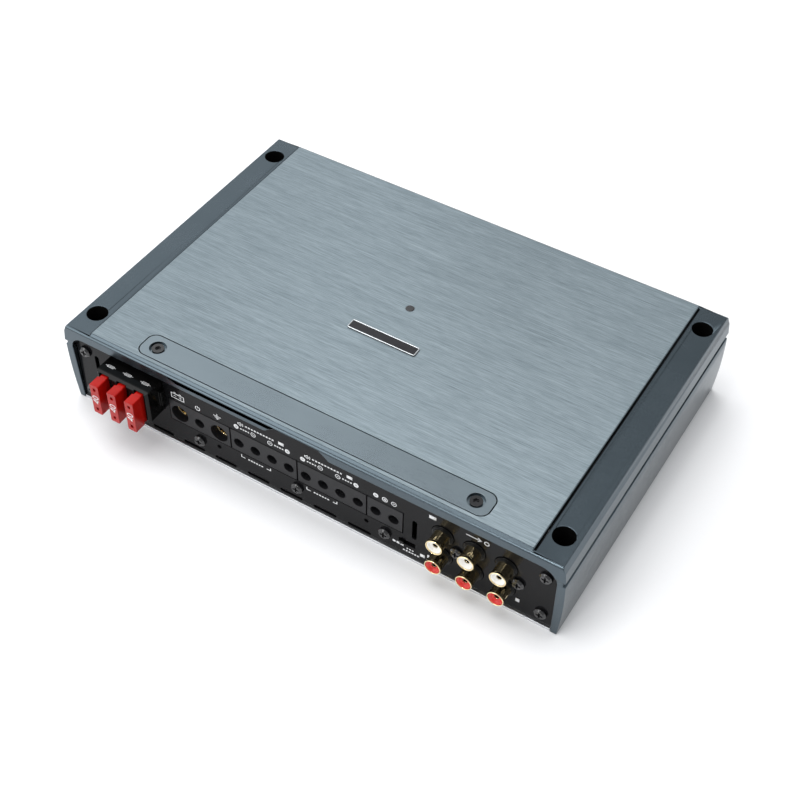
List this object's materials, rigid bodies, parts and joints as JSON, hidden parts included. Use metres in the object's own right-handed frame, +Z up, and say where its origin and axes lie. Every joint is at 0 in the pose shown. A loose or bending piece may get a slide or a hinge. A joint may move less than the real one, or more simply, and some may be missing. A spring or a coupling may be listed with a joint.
{
  "type": "car amplifier",
  "caption": "Flat car audio power amplifier: brushed metal top with a screwed access cover, corner mounting wells, and a connector panel with plug-in fuses, wire terminals and phono jacks.",
  "frame": {"origin": "middle of the underside, on the mounting surface, half way between the front and rear lips", "axes": "+X along the length, towards the phono-jack end; -Y out of the connector panel; +Z up from the mounting surface"},
  "size_m": [0.2706, 0.1941, 0.0518],
  "materials": {
    "satin_frame": "smooth satin blue-grey anodised casting",
    "brushed_plate": "fine brushed blue-grey anodising, streaks along the length",
    "satin_cover": "smooth satin blue-grey anodising",
    "base_metal": "plain mill-finish sheet",
    "panel_black": "semi-gloss black powder coat with white print",
    "black_screw": "black oxide steel",
    "zinc_screw": "bright zinc-plated steel",
    "badge_finish": "dark anodised, bright bevelled edge",
    "indicator_clear": "smoked clear acrylic",
    "led_body": "diffused red epoxy",
    "black_plastic": "fine-grained moulded black",
    "terminal_plastic": "dark grey moulded, semi-matt",
    "fuse_red": "translucent red moulding",
    "tin_blade": "tin-plated metal",
    "gold_plate": "gold-plated brass",
    "insert_white": "white moulding",
    "insert_red": "red moulding",
    "knob_ivory": "off-white moulding",
    "trimmer_blue": "blue moulding",
    "circuit_board": "green solder mask",
    "brass_spacer": "plain turned brass",
    "ferrite": "dark grey sintered ferrite",
    "copper_wire": "enamelled copper",
    "capacitor_sleeve": "dark blue shrink sleeve over an aluminium can",
    "moulded_package": "black moulding compound",
    "clamp_steel": "pressed spring steel"
  },
  "bodies": {
    "chassis": {"top_frame": "satin_frame", "top_plate": "brushed_plate", "left_cheek": "satin_frame", "right_cheek": "satin_frame", "base_plate": "base_metal", "base_screws": "zinc_screw", "front_panel": "panel_black", "rear_panel": "panel_black", "panel_screws": "black_screw", "badge_plate": "badge_finish", "indicator_lens": "indicator_clear", "fuse_holder": "black_plastic", "fuse_clips": "tin_blade", "power_terminal_block": "terminal_plastic", "speaker_a_terminal_block": "terminal_plastic", "speaker_b_terminal_block": "terminal_plastic", "subwoofer_terminal_block": "terminal_plastic", "power_clamp_cages": "gold_plate", "wire_clamp_cages": "tin_blade", "wire_clamp_screws": "zinc_screw", "rca_housing": "black_plastic", "rca_shells": "gold_plate", "rca_white_inserts": "insert_white", "rca_red_inserts": "insert_red", "rca_contacts": "gold_plate", "selector_body": "black_plastic", "control_board": "circuit_board", "trimmer_bodies": "trimmer_blue", "filter_switch_bodies": "black_plastic", "main_board": "circuit_board", "board_spacers": "brass_spacer", "board_screws": "zinc_screw", "transformer_core": "ferrite", "transformer_winding": "copper_wire", "bulk_capacitors": "capacitor_sleeve", "output_inductors": "ferrite", "power_transistors": "moulded_package", "transistor_clamp": "clamp_steel", "indicator_led": "led_body"},
    "access_cover": {"access_cover": "satin_cover", "access_cover_screws": "black_screw"},
    "fuse_1": {"fuse_1": "fuse_red", "fuse_1_blades": "tin_blade"},
    "fuse_2": {"fuse_2": "fuse_red", "fuse_2_blades": "tin_blade"},
    "fuse_3": {"fuse_3": "fuse_red", "fuse_3_blades": "tin_blade"},
    "battery_pad": {"battery_pressure_pad": "gold_plate"},
    "battery_screw": {"battery_clamp_screw": "gold_plate"},
    "ground_pad": {"ground_pressure_pad": "gold_plate"},
    "ground_screw": {"ground_clamp_screw": "gold_plate"},
    "input_selector": {"selector_knob": "black_plastic"},
    "gain_a": {"gain_knob_a": "knob_ivory"},
    "gain_b": {"gain_knob_b": "knob_ivory"},
    "gain_sub": {"gain_knob_sub": "knob_ivory"},
    "filter_a": {"filter_knob_a": "knob_ivory"},
    "filter_b": {"filter_knob_b": "knob_ivory"},
    "filter_sub": {"filter_knob_sub": "knob_ivory"},
    "switch_a": {"filter_switch_a": "knob_ivory"},
    "switch_sub": {"filter_switch_sub": "knob_ivory"}
  },
  "joints": [
    {"name": "cover_lift", "type": "slide", "parent": "chassis", "child": "access_cover", "axis": [0, 0, 1], "range_m": [0, 0.04]},
    {"name": "fuse_1_pull", "type": "slide", "parent": "chassis", "child": "fuse_1", "axis": [0, -1, 0], "range_m": [0, 0.02]},
    {"name": "fuse_2_pull", "type": "slide", "parent": "chassis", "child": "fuse_2", "axis": [0, -1, 0], "range_m": [0, 0.02]},
    {"name": "fuse_3_pull", "type": "slide", "parent": "chassis", "child": "fuse_3", "axis": [0, -1, 0], "range_m": [0, 0.02]},
    {"name": "battery_pad_travel", "type": "slide", "parent": "chassis", "child": "battery_pad", "axis": [0, 0, 1], "range_m": [-0.0024, 0]},
    {"name": "battery_screw_turn", "type": "hinge", "parent": "battery_pad", "child": "battery_screw", "pos_m": [-0.0698, -0.0788, 0.0299], "axis": [0, 0, 1], "range_deg": [-1080, 0]},
    {"name": "ground_pad_travel", "type": "slide", "parent": "chassis", "child": "ground_pad", "axis": [0, 0, 1], "range_m": [-0.0024, 0]},
    {"name": "ground_screw_turn", "type": "hinge", "parent": "ground_pad", "child": "ground_screw", "pos_m": [-0.0467, -0.0788, 0.0299], "axis": [0, 0, 1], "range_deg": [-1080, 0]},
    {"name": "selector_slide", "type": "slide", "parent": "chassis", "child": "input_selector", "axis": [1, 0, 0], "range_m": [0, 0.0048]},
    {"name": "gain_a_turn", "type": "hinge", "parent": "chassis", "child": "gain_a", "pos_m": [-0.064, -0.0749, 0.043], "axis": [0, 0, 1], "range_deg": [-140, 140]},
    {"name": "gain_b_turn", "type": "hinge", "parent": "chassis", "child": "gain_b", "pos_m": [-0.02, -0.0749, 0.043], "axis": [0, 0, 1], "range_deg": [-140, 140]},
    {"name": "gain_sub_turn", "type": "hinge", "parent": "chassis", "child": "gain_sub", "pos_m": [0.044, -0.0749, 0.043], "axis": [0, 0, 1], "range_deg": [-140, 140]},
    {"name": "filter_a_turn", "type": "hinge", "parent": "chassis", "child": "filter_a", "pos_m": [-0.052, -0.0749, 0.043], "axis": [0, 0, 1], "range_deg": [-140, 140]},
    {"name": "filter_b_turn", "type": "hinge", "parent": "chassis", "child": "filter_b", "pos_m": [-0.008, -0.0749, 0.043], "axis": [0, 0, 1], "range_deg": [-140, 140]},
    {"name": "filter_sub_turn", "type": "hinge", "parent": "chassis", "child": "filter_sub", "pos_m": [0.056, -0.0749, 0.043], "axis": [0, 0, 1], "range_deg": [-140, 140]},
    {"name": "switch_a_slide", "type": "slide", "parent": "chassis", "child": "switch_a", "axis": [1, 0, 0], "range_m": [0, 0.003]},
    {"name": "switch_sub_slide", "type": "slide", "parent": "chassis", "child": "switch_sub", "axis": [1, 0, 0], "range_m": [0, 0.003]}
  ],
  "couplings": [
    {"joint": "battery_screw_turn", "follows": "battery_pad_travel", "rad_per_m": 7854},
    {"joint": "ground_screw_turn", "follows": "ground_pad_travel", "rad_per_m": 7854}
  ]
}
